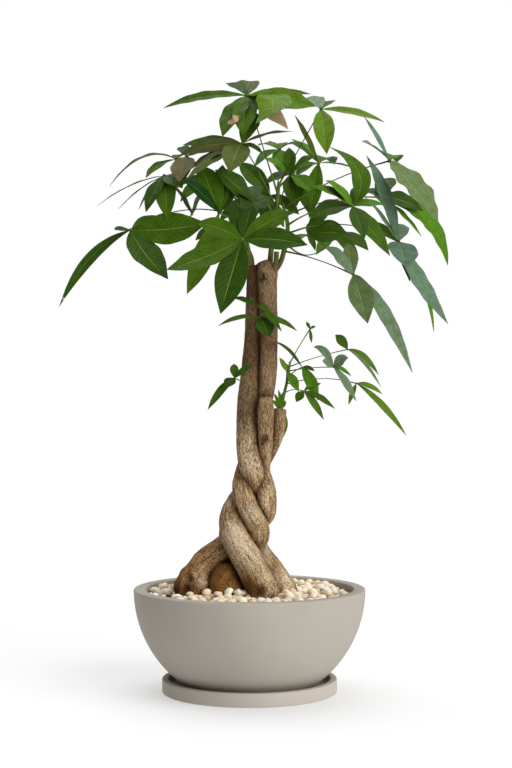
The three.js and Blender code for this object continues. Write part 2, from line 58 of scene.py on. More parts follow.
class Wire:
    """A value that varies over a surface. Arithmetic on it adds Math nodes to its finish."""

    def __init__(self, finish, socket):
        self.finish = finish
        self.socket = socket

    def math(self, operation, first, second=0.0):
        return self.finish.node('ShaderNodeMath', {'operation': operation}, {0: first, 1: second})

    def __add__(self, other):
        return self.math('ADD', self, other)

    def __radd__(self, other):
        return self.math('ADD', other, self)

    def __sub__(self, other):
        return self.math('SUBTRACT', self, other)

    def __rsub__(self, other):
        return self.math('SUBTRACT', other, self)

    def __mul__(self, other):
        return self.math('MULTIPLY', self, other)

    def __rmul__(self, other):
        return self.math('MULTIPLY', other, self)

    def __pow__(self, other):
        return self.math('POWER', self, other)

    def __rpow__(self, other):
        return self.math('POWER', other, self)

    def __abs__(self):
        return self.math('ABSOLUTE', self)

    def between(self, low, high):
        """0 below low, 1 above high, and a smooth step from one to the other."""
        settings = {'interpolation_type': 'SMOOTHSTEP'}
        return self.finish.node('ShaderNodeMapRange', settings, {0: self, 1: low, 2: high})


class Finish:
    """One material: a Principled shader and the nodes that feed it."""

    def __init__(self, name):
        self.material = bpy.data.materials.new(name)
        self.material.use_nodes = True
        self.tree = self.material.node_tree
        self.shader = self.tree.nodes['Principled BSDF']

    def feed(self, socket, value):
        if isinstance(value, Wire):
            self.tree.links.new(value.socket, socket)
        else:
            socket.default_value = value

    def node(self, kind, settings, inputs, output=0):
        """Adds a node, applies its settings, then fills its sockets with values or links."""
        made = self.tree.nodes.new(kind)
        for name, value in settings.items():
            if name == 'stops':
                ramp = made.color_ramp.elements
                ramp.remove(ramp[1])
                ramp[0].position, ramp[0].color = value[0]
                for place, color in value[1:]:
                    ramp.new(place).color = color
            else:
                setattr(made, name, value)
        for name, value in inputs.items():
            self.feed(made.inputs[name], value)
        return Wire(self, made.outputs[output])

    def place(self):
        return self.node('ShaderNodeTexCoord', {}, {}, output='Object')

    def attribute(self, name, output='Color'):
        return self.node('ShaderNodeAttribute', {'attribute_name': name}, {}, output=output)

    def split(self, vector):
        return [self.node('ShaderNodeSeparateXYZ', {}, {0: vector}, output=axis) for axis in 'XYZ']

    def scaled(self, vector, scale):
        return self.node('ShaderNodeVectorMath', {'operation': 'MULTIPLY'}, {0: vector, 1: scale})

    def grain(self, vector, scale, detail=3.0, roughness=0.55):
        """Fractal noise from 0 to 1."""
        inputs = {'Vector': vector, 'Scale': scale, 'Detail': detail, 'Roughness': roughness}
        return self.node('ShaderNodeTexNoise', {}, inputs)

    def mix(self, factor, first, second):
        """A colour between two colours."""
        settings = {'data_type': 'RGBA'}
        return self.node('ShaderNodeMix', settings, {0: factor, 6: first, 7: second}, output=2)

    def tinted(self, factor, first, second):
        """The first colour multiplied by the second, as far as the factor says."""
        settings = {'data_type': 'RGBA', 'blend_type': 'MULTIPLY'}
        return self.node('ShaderNodeMix', settings, {0: factor, 6: first, 7: second}, output=2)

    def raise_by(self, height, strength, distance):
        """Relief from a height between 0 and 1."""
        inputs = {'Height': height, 'Strength': strength, 'Distance': distance}
        self.feed(self.shader.inputs['Normal'], self.node('ShaderNodeBump', {}, inputs))

    def surface(self, **inputs):
        """Sets the shader's own sockets by name, with spaces written as underscores."""
        for name, value in inputs.items():
            self.feed(self.shader.inputs[name.replace('_', ' ')], value)
        return self.material


def cast_stone(name, low, high):
    """Matte cast stone: a faint cloudy tone, fine specks and a slightly gritty skin."""
    finish = Finish(name)
    place = finish.place()
    cloud = finish.grain(place, 9.0, detail=2.0)
    specks = finish.grain(place, 1100.0, detail=2.0)
    grit = finish.grain(place, 420.0, detail=4.0)
    tone = finish.mix(cloud.between(0.2, 0.8), low, high)
    tone = finish.tinted(specks.between(0.62, 0.74) * 0.12, tone, paint(120, 112, 102))
    finish.raise_by(grit * 0.7 + specks * 0.3, 0.25, 0.0004)
    return finish.surface(Base_Color=tone, Roughness=0.66 + cloud * 0.16, Specular_IOR_Level=0.35)


bpy.ops.object.select_all(action='DESELECT')
bpy.ops.mesh.primitive_cylinder_add(
    vertices=ROUND_SIDES, radius=SAUCER_RADIUS, depth=SAUCER_HEIGHT, location=(0, 0, SAUCER_HEIGHT / 2))
saucer = bpy.context.object
saucer.name = 'saucer_dish'
bpy.ops.object.transform_apply(location=True)
bpy.ops.object.mode_set(mode='EDIT')
bpy.ops.mesh.select_mode(type='FACE')
bpy.ops.mesh.select_all(action='DESELECT')
shape = bmesh.from_edit_mesh(saucer.data)
for face in shape.faces:
    face.select_set(face.normal.z > 0.9)
bpy.ops.mesh.inset(thickness=SAUCER_WALL)
bpy.ops.mesh.extrude_region_move(TRANSFORM_OT_translate={'value': (0, 0, SAUCER_FLOOR - SAUCER_HEIGHT)})
bpy.ops.object.mode_set(mode='OBJECT')
rounding = saucer.modifiers.new('rounded edges', 'BEVEL')
rounding.width = EDGE_ROUND
rounding.segments = 4
rounding.angle_limit = math.radians(40)
bpy.ops.object.modifier_apply(modifier=rounding.name)
bpy.ops.object.shade_smooth_by_angle(angle=math.radians(30))
saucer.data.materials.append(cast_stone('saucer_stone', paint(172, 165, 154), paint(178, 171, 160)))
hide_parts('saucer')
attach(saucer, 'root')

# Bowl. A wide pot of grey cast stone shaped like half a ball with a flat foot. Its wall is thick, its
# rim is flat with rounded edges, and it stands loose in the saucer.
BOWL_RADIUS = 0.180
BOWL_WALL = 0.0185
BOWL_RIM = 0.1598
BOWL_FOOT = 0.009
BOWL_FLOOR = 0.016
RIM_ROUND = 0.0025
LEVEL_SLACK = 0.00001


def half_ball(radius, floor):
    """The lower half of a ball, open at the rim and cut flat at the floor."""
    bpy.ops.object.select_all(action='DESELECT')
    bpy.ops.mesh.primitive_uv_sphere_add(
        segments=ROUND_SIDES, ring_count=ROUND_SIDES // 2, radius=radius, location=(0, 0, BOWL_RIM))
    bpy.ops.object.transform_apply(location=True)
    ball = bpy.context.object
    bpy.ops.object.mode_set(mode='EDIT')
    bpy.ops.mesh.select_mode(type='VERT')
    bpy.ops.mesh.select_all(action='DESELECT')
    shape = bmesh.from_edit_mesh(ball.data)
    for vertex in shape.verts:
        vertex.select_set(vertex.co.z > BOWL_RIM + LEVEL_SLACK)
    shape.select_flush(True)
    bpy.ops.mesh.delete(type='VERT')
    bpy.ops.mesh.select_all(action='SELECT')
    bpy.ops.mesh.bisect(plane_co=(0, 0, floor), plane_no=(0, 0, 1), use_fill=True, clear_inner=True)
    bpy.ops.object.mode_set(mode='OBJECT')
    return ball


def joined(pieces):
    """Joins pieces into the first of them."""
    bpy.ops.object.select_all(action='DESELECT')
    for piece in pieces:
        piece.select_set(True)
    bpy.context.view_layer.objects.active = pieces[0]
    bpy.ops.object.join()
    return pieces[0]


outside = half_ball(BOWL_RADIUS, BOWL_FOOT)
inside = half_ball(BOWL_RADIUS - BOWL_WALL, BOWL_FOOT + BOWL_FLOOR)
bpy.ops.object.mode_set(mode='EDIT')
bpy.ops.mesh.select_all(action='SELECT')
bpy.ops.mesh.flip_normals()
bpy.ops.object.mode_set(mode='OBJECT')
bowl = joined([inside, outside])
bowl.name = 'bowl_pot'
bpy.ops.object.mode_set(mode='EDIT')
bpy.ops.mesh.select_mode(type='EDGE')
bpy.ops.mesh.select_all(action='DESELECT')
shape = bmesh.from_edit_mesh(bowl.data)
for edge in shape.edges:
    edge.select_set(edge.is_boundary)
bpy.ops.mesh.bridge_edge_loops()
bpy.ops.mesh.select_all(action='DESELECT')
shape = bmesh.from_edit_mesh(bowl.data)
for edge in shape.edges:
    level = all(abs(vertex.co.z - BOWL_RIM) < LEVEL_SLACK for vertex in edge.verts)
    inner, outer = sorted(vertex.co.xy.length for vertex in edge.verts)
    edge.select_set(level and outer - inner < 0.001)
bpy.ops.mesh.bevel(offset=RIM_ROUND, segments=5)
bpy.ops.mesh.select_all(action='SELECT')
bpy.ops.mesh.normals_make_consistent(inside=False)
bpy.ops.object.mode_set(mode='OBJECT')
bpy.ops.object.shade_smooth_by_angle(angle=math.radians(30))
bowl.data.materials.append(cast_stone('bowl_stone', paint(158, 151, 140), paint(165, 158, 148)))
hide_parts('bowl')
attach(bowl, 'root')

# Soil. Dark potting soil that fills the bowl and holds the stems. It hardly shows under the pebbles,
# so its plain solid stays and only gets a crumbly dark finish.
finish = Finish('potting_soil')
place = finish.place()
crumbs = finish.grain(place, 260.0, detail=5.0, roughness=0.7)
tone = finish.mix(crumbs.between(0.35, 0.65), paint(58, 42, 30), paint(120, 92, 64))
finish.raise_by(crumbs, 0.8, 0.003)
finish.surface(Base_Color=tone, Roughness=0.95)
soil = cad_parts['soil']
soil.data.materials.clear()
soil.data.materials.append(finish.material)

# Pebbles. A top dressing of small rounded river stones, cream with a few honey, white and grey ones,
# about two deep round the feet of the stems and level just below the rim.
PEBBLE_COUNT = 940
PEBBLE_RADII = (0.0044, 0.0084)
PEBBLE_FLOOR = 0.1325
POUR_SEED = 11
POUR_RADIUS = 0.16
POUR_HEIGHTS = (0.14, 0.17)
SETTLE_STEPS = 160
LOOK_ROUND_STEPS = 8
NEIGHBOUR_REACH = 0.022
CONTACT_SHARE = 0.97
PUSH_SHARE = 0.4
STEM_SHARE = 0.8
SINK_A_STEP = 0.0004
STONE_SHAPES = 4
STONE_LUMPS = 0.30
STONE_SEED = 5
STONE_LENGTH = 1.14
STONE_FLATNESS = (0.72, 0.92)
STONE_TILT = 0.6
# Where each stem stands in the pebbles: right, back and radius in millimetres.
STEM_FEET = ((13, 39, 17), (55, -4, 17), (-88, -6, 24), (25, -36, 21), (-34, -14, 30))
# Tones of the stones and the share of each.
STONE_TONES = (
    (paint(236, 222, 196), 18), (paint(240, 230, 210), 16), (paint(232, 211, 176), 8),
    (paint(214, 182, 140), 2), (paint(244, 241, 232), 2), (paint(184, 178, 170), 1))

draw = np.random.default_rng(POUR_SEED)
size = draw.uniform(*PEBBLE_RADII, PEBBLE_COUNT)
turn = draw.uniform(0, 2 * math.pi, PEBBLE_COUNT)
away = POUR_RADIUS * np.sqrt(draw.uniform(0, 1, PEBBLE_COUNT))
height = draw.uniform(*POUR_HEIGHTS, PEBBLE_COUNT)
place = np.stack([away * np.cos(turn), away * np.sin(turn), height], axis=1)
middle = np.array((0, 0, BOWL_RIM))
# The stones sink bit by bit, while neighbours, stems and the bowl's wall push them apart.
for step in range(SETTLE_STEPS):
    if step % LOOK_ROUND_STEPS == 0:
        apart = np.linalg.norm(place[:, None] - place[None], axis=2)
        one, other = np.nonzero(np.triu(apart < NEIGHBOUR_REACH, 1))
    gap = place[one] - place[other]
    apart = np.linalg.norm(gap, axis=1)
    press = np.clip(CONTACT_SHARE * (size[one] + size[other]) - apart, 0, None)
    shift = PUSH_SHARE * gap * (press / apart)[:, None]
    np.add.at(place, one, shift)
    np.subtract.at(place, other, shift)
    place[:, 2] -= SINK_A_STEP
    for right, back, reach in STEM_FEET:
        aside = place[:, :2] - np.array((right, back)) / 1000
        near = np.linalg.norm(aside, axis=1)
        push = np.clip(reach / 1000 + STEM_SHARE * size - near, 0, None)
        place[:, :2] += aside / near[:, None] * push[:, None]
    out = place - middle
    far = np.linalg.norm(out, axis=1)
    room = BOWL_RADIUS - BOWL_WALL - size
    place = np.where((far > room)[:, None], middle + out * (room / far)[:, None], place)
    place[:, 2] = np.maximum(place[:, 2], PEBBLE_FLOOR + size)

stones = []
bpy.ops.object.select_all(action='DESELECT')
for shape_seed in range(STONE_SHAPES):
    bpy.ops.mesh.primitive_ico_sphere_add(subdivisions=2, radius=1)
    stone = bpy.context.object
    for vertex in stone.data.vertices:
        bump = noise.noise(vertex.co * 1.1 + Vector((shape_seed * 7, 3, 5)))
        vertex.co *= 1 + STONE_LUMPS * bump
    bpy.ops.object.mode_set(mode='EDIT')
    bpy.ops.mesh.select_all(action='SELECT')
    bpy.ops.mesh.tris_convert_to_quads(face_threshold=math.pi, shape_threshold=math.pi)
    bpy.ops.object.mode_set(mode='OBJECT')
    stones.append(stone)
sprinkle = random.Random(STONE_SEED)
tones = [tone for tone, share in STONE_TONES for _ in range(share)]
pebbles = []
for spot, reach in zip(place, size.tolist()):
    pebble = stones[sprinkle.randrange(STONE_SHAPES)].copy()
    pebble.data = pebble.data.copy()
    bpy.context.collection.objects.link(pebble)
    flat = Matrix.Diagonal((STONE_LENGTH, 1.0, sprinkle.uniform(*STONE_FLATNESS), 1))
    nod = Matrix.Rotation(sprinkle.uniform(-STONE_TILT, STONE_TILT), 4, 'X')
    lean = Matrix.Rotation(sprinkle.uniform(-STONE_TILT, STONE_TILT), 4, 'Y')
    spin = Matrix.Rotation(sprinkle.uniform(0, 2 * math.pi), 4, 'Z')
    pebble.data.transform(Matrix.Translation(spot) @ spin @ nod @ lean @ flat @ Matrix.Scale(reach, 4))
    shade = sprinkle.uniform(0.9, 1.05)
    tone = [min(channel * shade, 1) for channel in sprinkle.choice(tones)[:3]]
    layer = pebble.data.attributes.new('stone_tone', 'FLOAT_COLOR', 'POINT')
    layer.data.foreach_set('color', [*tone, 1] * len(pebble.data.vertices))
    pebbles.append(pebble)
bpy.ops.object.select_all(action='DESELECT')
for stone in stones:
    stone.select_set(True)
bpy.ops.object.delete()
gravel = joined(pebbles)
gravel.name = 'pebble_dressing'
bpy.ops.object.shade_smooth()

finish = Finish('river_pebble')
place = finish.place()
stain = finish.grain(place, 160.0, detail=4.0)
pits = finish.grain(place, 900.0, detail=3.0)
height = finish.split(place)[2]
tone = finish.tinted(stain.between(0.42, 0.75) * 0.5, finish.attribute('stone_tone'), paint(236, 212, 172))
# Painted shade: stones lying low in the layer, in the gaps between the top ones, are tinted a darker warm
# brown.
tone = finish.tinted(height.between(0.152, 0.143), tone, paint(132, 86, 40))
finish.raise_by(pits, 0.2, 0.0004)
gravel.data.materials.append(finish.surface(Base_Color=tone, Roughness=0.42 + pits * 0.2))
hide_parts('pebbles')
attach(gravel, 'root')

# Stems. Five woody stems, plaited while young and grown together: two carry the crown, two are cut
# off part way up, and a swollen low one fills the foot. Each is a straight round rod with ridged bark
# that is bent over its centre line: right, back, up and radius in millimetres, from the top down.
STEMS = {
    'stem_left': [
        (8, 4, 659, 9.5), (7, 4, 640, 10), (6, 4, 608, 10.8), (4, 4, 545, 11.6), (0, 3, 489, 13.2),
        (-3, 1, 450, 14.4), (-4, -2, 412, 15.3), (-2, -8, 370, 16.5), (3, -11, 346, 17), (9, -8, 324, 16),
        (12, 6, 302, 15), (12, 22, 279, 15), (8, 32, 252, 15.5), (4, 36, 225, 16), (6, 40, 200, 17.5),
        (12, 40, 175, 18), (14, 38, 120, 17),
    ],
    'stem_middle': [
        (21, 2, 665, 11), (26, 1, 652, 16), (27, 1, 634, 15), (28, 0, 600, 14), (29, 0, 564, 13.8),
        (29, 0, 530, 13.5), (28, 1, 495, 13), (25, 6, 468, 12.8), (20, 18, 440, 13), (12, 27, 410, 13),
        (4, 30, 380, 13), (-3, 22, 355, 13.5), (-9, 4, 335, 13.5), (-11, -12, 316, 14.5),
        (-4, -22, 291, 15.5), (7, -26, 268, 16.8), (14, -22, 249, 16.5), (11, -10, 229, 15),
        (20, 0, 208, 16), (34, -2, 189, 17), (45, -4, 171, 18), (55, -4, 150, 18.5), (58, -4, 120, 17),
    ],
    'stem_front': [
        (25, -18, 454, 9.5), (25, -19, 436, 11.5), (25, -16, 400, 10.5), (24, -9, 372, 10),
        (21, 0, 352, 10.5), (20, 1, 340, 11.5), (23, -6, 326, 13), (26, -15, 309, 14.5), (26, -17, 291, 15),
        (24, -8, 277, 15.5), (14, 6, 264, 15.5), (-3, 12, 249, 16), (-22, 10, 237, 17), (-38, 5, 222, 19),
        (-55, 2, 209, 20), (-70, -1, 199, 19.5), (-81, -4, 187, 20), (-88, -5, 170, 22.5),
        (-88, -6, 150, 25), (-88, -6, 120, 23),
    ],
    'stem_right': [
        (47, -4, 436, 9), (45, -4, 412, 10), (38, 0, 388, 10.5), (29, 8, 370, 11), (19, 19, 353, 11.5),
        (10, 27, 338, 12), (2, 31, 326, 12.5), (-6, 29, 312, 13), (-16, 20, 300, 13.5), (-23, 6, 288, 14.5),
        (-28, -10, 272, 17), (-26, -22, 256, 19.5), (-18, -28, 234, 21), (-4, -32, 209, 22),
        (11, -34, 181, 23), (24, -36, 153, 22.5), (28, -36, 120, 20),
    ],
    'stem_low': [
        (-30, -6, 206, 11), (-34, -9, 192, 20), (-37, -12, 172, 28), (-34, -14, 150, 31),
        (-34, -14, 120, 29),
    ],
}
# Swellings and dents of the bark: centre, reach and height in millimetres.
KNOTS = {
    'stem_left': [((-12, -8, 455), 14, 1.2), ((12, -12, 402), 12, 0.9)],
    'stem_middle': [((38, -8, 652), 9, 2.6), ((20, -13, 637), 9, 0.8), ((38, -6, 470), 10, 0.9),
                    ((6, -40, 268), 12, 1.2), ((66, -12, 166), 10, 2.0), ((46, -22, 172), 14, 6.0)],
    'stem_front': [((34, -26, 437), 6, 1.6), ((24, -29, 392), 9, 1.3), ((-58, -20, 214), 14, 2.0),
                   ((-100, -8, 202), 14, -3.0), ((-66, -27, 168), 14, 11.5), ((-52, -14, 186), 14, 9.0),
                   ((-36, -8, 204), 17, 11.0), ((-113, -14, 164), 12, 5.5), ((-97, -27, 160), 7, -8.0),
                   ((-93, -25, 178), 6, -6.0), ((-84, -30, 184), 7, 3.0), ((-104, -12, 190), 8, 2.5),
                   ((-80, -18, 204), 10, 2.0), ((-80, -27, 186), 6, -3.0)],
    'stem_right': [((-18, -50, 228), 6, 2.2), ((-18, -53, 228), 2.6, -3.4), ((-43, -24, 244), 6, 3.0),
                   ((0, -58, 190), 13, 2.0), ((-4, -58, 162), 11, 3.0), ((34, -54, 162), 13, 7.0),
                   ((14, -60, 164), 6, -5.0), ((8, -58, 208), 5, 1.6), ((18, -56, 190), 5, -1.8)],
    'stem_low': [((-52, -38, 170), 14, 2.5), ((-22, -40, 164), 16, 2.0), ((-30, -10, 208), 14, -8.0)],
}
# Marks in the bark, painted shade and highlights among them: kind, centre, reach in millimetres and strength.
MARK_KINDS = ('dark_bark_and_shade', 'scar', 'ochre', 'pale')
MARKS_AND_PAINTED_LIGHT = {
    'stem_left': [('dark_bark_and_shade', (8, 4, 640), 60, 0.85), ('dark_bark_and_shade', (4, 4, 540), 60, 0.7),
                  ('dark_bark_and_shade', (-4, -6, 440), 40, 0.5), ('pale', (2, -26, 352), 18, 0.5)],
    'stem_middle': [('scar', (20, -13, 640), 11, 1.0), ('dark_bark_and_shade', (22, 1, 668), 12, 0.8),
                    ('dark_bark_and_shade', (16, -6, 560), 50, 0.5), ('pale', (48, -24, 168), 20, 1.0),
                    ('pale', (20, -16, 212), 16, 0.6), ('pale', (2, -40, 280), 18, 0.5)],
    'stem_front': [('ochre', (-114, -10, 172), 20, 1.0), ('dark_bark_and_shade', (-108, -18, 156), 18, 1.0),
                   ('scar', (-98, -28, 160), 9, 0.5), ('ochre', (-80, -10, 190), 50, 0.4),
                   ('dark_bark_and_shade', (-97, -30, 160), 12, 1.0), ('dark_bark_and_shade', (-93, -28, 178), 7, 1.0),
                   ('pale', (-84, -34, 184), 8, 0.9), ('scar', (-94, -28, 174), 5, 0.6),
                   ('dark_bark_and_shade', (-80, -30, 187), 5, 0.9), ('ochre', (-62, -32, 172), 20, 0.4),
                   ('ochre', (-96, -24, 192), 18, 0.8), ('ochre', (25, -18, 425), 26, 0.3),
                   ('ochre', (-74, -34, 160), 16, 0.9), ('pale', (-66, -34, 174), 14, 1.0),
                   ('dark_bark_and_shade', (24, -28, 392), 9, 0.9)],
    'stem_right': [('dark_bark_and_shade', (-18, -50, 228), 3, 1.0), ('ochre', (46, -4, 420), 30, 0.2),
                   ('dark_bark_and_shade', (-4, -54, 164), 14, 1.0), ('dark_bark_and_shade', (14, -60, 162), 9, 1.0),
                   ('ochre', (2, -56, 168), 22, 0.9), ('scar', (14, -58, 160), 6, 0.5),
                   ('pale', (-2, -52, 216), 20, 0.7), ('pale', (-16, -46, 242), 24, 0.8),
                   ('pale', (22, -54, 184), 14, 0.6)],
    'stem_low': [('ochre', (-36, -30, 170), 60, 1.0), ('dark_bark_and_shade', (-34, -20, 206), 12, 1.0)],
}
STEM_SIDES = 48
STEM_RING = 0.0022
BARK_SWELL = 1.1
LUMP_SCALES = (40, 40, 22)
LUMP_SHARE = 0.05
RIDGE_SCALES = (190, 190, 20)
RIDGE_HEIGHT = 0.0008
GRAIN_SCALES = (420, 420, 160)
GRAIN_HEIGHT = 0.0007
# How rugged the bark is at the top of a stem, three fifths of the way down and at its foot.
RUGGED = (0.5, 0.8, 2.0)
# The rounded top of a stem: thickness and depth of each inset of its end.
TOP_INSETS = ((0.10, 0.0016), (0.22, 0.0014), (0.34, 0.0006))
MARK_CORE = 1.6
MARK_FADE = 1.2
# How far from a neighbouring stem's surface the painted shade of a crease reaches, in millimetres.
CREASE_SHADE_WIDTH = 13.0

finish = Finish('fibrous_bark')
place = finish.place()
height = finish.split(place)[2]
straight = finish.attribute('straight', 'Vector')
dark_bark_and_shade, scar, ochre = [
    finish.node('ShaderNodeSeparateColor', {}, {0: finish.attribute('marks')}, output=channel)
    for channel in ('Red', 'Green', 'Blue')]
# The pale marks paint highlights onto the bark.
pale = finish.attribute('marks', 'Alpha')
crease = finish.attribute('crease', 'Fac')
fibres = finish.grain(finish.scaled(straight, (860, 860, 210)), 1.0, detail=4.0, roughness=0.8)
furrows = finish.grain(finish.scaled(straight, (230, 230, 50)), 1.0, detail=3.0, roughness=0.6)
flakes = finish.grain(finish.scaled(straight, (680, 680, 460)), 1.0, detail=4.0, roughness=0.8)
patches = finish.grain(finish.scaled(straight, (34, 34, 16)), 1.0, detail=3.0)
rough = height.between(0.40, 0.22)
skin = fibres * (1 - rough * 0.7) + flakes * (rough * 0.7)
relief = skin * 0.78 + furrows * 0.22
tone = finish.node('ShaderNodeValToRGB', {'stops': [
    (0.39, paint(44, 30, 18)), (0.45, paint(112, 86, 55)), (0.50, paint(172, 142, 102)),
    (0.57, paint(242, 218, 180))]}, {0: relief})
tone = finish.mix(height.between(0.34, 0.50) * 0.55, tone, paint(136, 106, 70))
tone = finish.tinted(patches.between(0.35, 0.65) * (0.4 + rough * 0.3), tone, paint(184, 158, 124))
# Darker bark on the upper stems and a knot, and painted shade in dents, clefts, a knot's hole and at the feet
# just above the pebbles.
tone = finish.tinted(dark_bark_and_shade, tone, paint(140, 116, 90))
tone = finish.tinted(ochre, tone, paint(212, 174, 112))
tone = finish.mix(ochre * flakes * 0.5, tone, paint(138, 102, 52))
# Painted highlight: under the pale marks the ridges of the bark are lightened towards near white.
tone = finish.mix(pale * relief.between(0.42, 0.52) * 0.7, tone, paint(242, 220, 190))
pores = finish.grain(place, 420.0, detail=2.0)
tone = finish.tinted(ochre * pores.between(0.46, 0.38) * 0.55, tone, paint(96, 66, 44))
tone = finish.mix(scar * pores.between(0.56, 0.48), tone, paint(38, 32, 26))
# Painted shade in the creases where the stems press together, with a thin dark line at the deepest part.
tone = finish.tinted(crease, tone, paint(194, 168, 140))
tone = finish.tinted(crease ** 5, tone, paint(26, 16, 10))
finish.raise_by(relief, 1.0, 0.0045)
bark = finish.surface(Base_Color=tone, Roughness=0.85, Specular_IOR_Level=0.2)


def smooth_line(points):
    """A curve through points in millimetres."""
    bpy.ops.object.select_all(action='DESELECT')
    bpy.ops.curve.primitive_bezier_curve_add()
    line = bpy.context.object
    spline = line.data.splines[0]
    spline.bezier_points.add(len(points) - 2)
    for knot, point in zip(spline.bezier_points, points):
        knot.co = Vector(point[:3]) / 1000
        knot.radius = point[3] if len(point) > 3 else 1
        knot.handle_left_type = knot.handle_right_type = 'AUTO'
    line.data.twist_mode = 'MINIMUM'
    bpy.context.view_layer.update()
    return line


def ring_cuts(rod, cuts, longest):
    """Cuts every edge along the rod that is longer than longest."""
    bpy.ops.mesh.select_all(action='DESELECT')
    shape = bmesh.from_edit_mesh(rod.data)
    for edge in shape.edges:
        edge.select_set(abs(edge.verts[0].co.z - edge.verts[1].co.z) > longest)
    bmesh.update_edit_mesh(rod.data)
    bpy.ops.mesh.subdivide(number_cuts=cuts)


def straight_rod(length):
    """A rod of radius one, cut into rings along its length, with the end at the origin rounded off."""
    bpy.ops.object.select_all(action='DESELECT')
    bpy.ops.mesh.primitive_cylinder_add(
        vertices=STEM_SIDES, radius=1, depth=length, location=(0, 0, length / 2))
    rod = bpy.context.object
    bpy.ops.object.transform_apply(location=True)
    bpy.ops.object.mode_set(mode='EDIT')
    bpy.ops.mesh.select_mode(type='EDGE')
    cuts = round(math.sqrt(length / STEM_RING)) - 1
    ring_cuts(rod, cuts, length / 2)
    ring_cuts(rod, cuts, length / (cuts + 1) / 2)
    bpy.ops.mesh.select_mode(type='FACE')
    bpy.ops.mesh.select_all(action='DESELECT')
    shape = bmesh.from_edit_mesh(rod.data)
    for face in shape.faces:
        face.select_set(face.normal.z < -0.9)
    for thickness, depth in TOP_INSETS:
        bpy.ops.mesh.inset(thickness=thickness, depth=depth)
    bpy.ops.object.mode_set(mode='OBJECT')
    return rod


def grow_bark(rod, points, length, seed):
    """Spreads the rod to its radii, with lumps, long ridges and a fine grain."""
    steps = [0.0]
    for before, after in zip(points, points[1:]):
        steps.append(steps[-1] + math.dist(before[:3], after[:3]) / 1000)
    widths = [(point[3] + BARK_SWELL) / 1000 for point in points]
    stretch = length / steps[-1]
    for vertex in rod.data.vertices:
        right, back, down = vertex.co
        wide = float(np.interp(down / stretch, steps, widths))
        rugged = float(np.interp(down / stretch, (0, 0.6 * steps[-1], steps[-1]), RUGGED))
        spot = Vector((right * wide, back * wide, down)) + Vector((seed, wide, 0)) * 0.3
        lumps, ridge, grain = [
            noise.noise(Vector([at * scale for at, scale in zip(spot, scales)]))
            for scales in (LUMP_SCALES, RIDGE_SCALES, GRAIN_SCALES)]
        wide *= 1 + LUMP_SHARE * lumps
        wide += (RIDGE_HEIGHT * ridge + GRAIN_HEIGHT * grain) * rugged
        vertex.co = (right * wide, back * wide, down)


def points_of(mesh):
    """The places of a mesh's vertices, in one row."""
    row = np.empty(len(mesh.vertices) * 3)
    mesh.vertices.foreach_get('co', row)
    return row


def nearness(spots, centre, reach):
    """Distance from a centre in millimetres, as a share of its reach."""
    return np.linalg.norm(spots - np.array(centre) / 1000, axis=1) / (reach / 1000)


def mark_strengths(spots, marks):
    """How strongly each kind of mark, painted shade and highlight among them, shows at each spot."""
    painted = np.zeros((len(spots), len(MARK_KINDS)))
    for kind, centre, reach, strength in marks:
        layer = painted[:, MARK_KINDS.index(kind)]
        near = nearness(spots, centre, reach)
        np.maximum(layer, strength * np.clip(MARK_CORE - MARK_FADE * near, 0, 1), out=layer)
    return painted


def crease_shade_depth(spots, name):
    """How deep each spot lies between this stem and the others, which sets the shade painted in the creases
    there.
    """
    crease_shading = np.zeros(len(spots))
    for other, knots in STEMS.items():
        if other != name:
            for first, last in zip(knots, knots[1:]):
                for part in (0, 0.25, 0.5, 0.75):
                    centre = np.array(first) * (1 - part) + np.array(last) * part
                    gap = np.linalg.norm(spots * 1000 - centre[:3], axis=1) - centre[3]
                    crease_shading = np.maximum(crease_shading, np.clip(1 - gap / CREASE_SHADE_WIDTH, 0, 1))
    return crease_shading


for name, points in STEMS.items():
    line = smooth_line([point[:3] for point in points])
    line.data.resolution_u = 16
    length = line.data.splines[0].calc_length()
    rod = straight_rod(length)
    rod.name = name + '_bark'
    grow_bark(rod, points, length, len(name))
    layer = rod.data.attributes.new('straight', 'FLOAT_VECTOR', 'POINT')
    layer.data.foreach_set('vector', points_of(rod.data))
    bend = rod.modifiers.new('bend', 'CURVE')
    bend.object = line
    bend.deform_axis = 'POS_Z'
    bpy.ops.object.modifier_apply(modifier=bend.name)
    bpy.data.objects.remove(line)

    spots = points_of(rod.data).reshape(-1, 3)
    normals = np.array([vertex.normal[:] for vertex in rod.data.vertices])
    for centre, reach, rise in KNOTS[name]:
        near = nearness(spots, centre, reach)
        spots += normals * (rise / 1000 * np.exp(-near ** 2))[:, None]
    rod.data.vertices.foreach_set('co', spots.ravel())
    layer = rod.data.attributes.new('marks', 'FLOAT_COLOR', 'POINT')
    layer.data.foreach_set('color', mark_strengths(spots, MARKS_AND_PAINTED_LIGHT[name]).ravel())
    # Painted shade: how deep each spot lies in a crease between the stems.
    layer = rod.data.attributes.new('crease', 'FLOAT', 'POINT')
    layer.data.foreach_set('value', crease_shade_depth(spots, name))
    bpy.ops.object.shade_smooth_by_angle(angle=math.radians(50))
    rod.data.materials.append(bark)
    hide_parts(name)
    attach(rod, 'root')

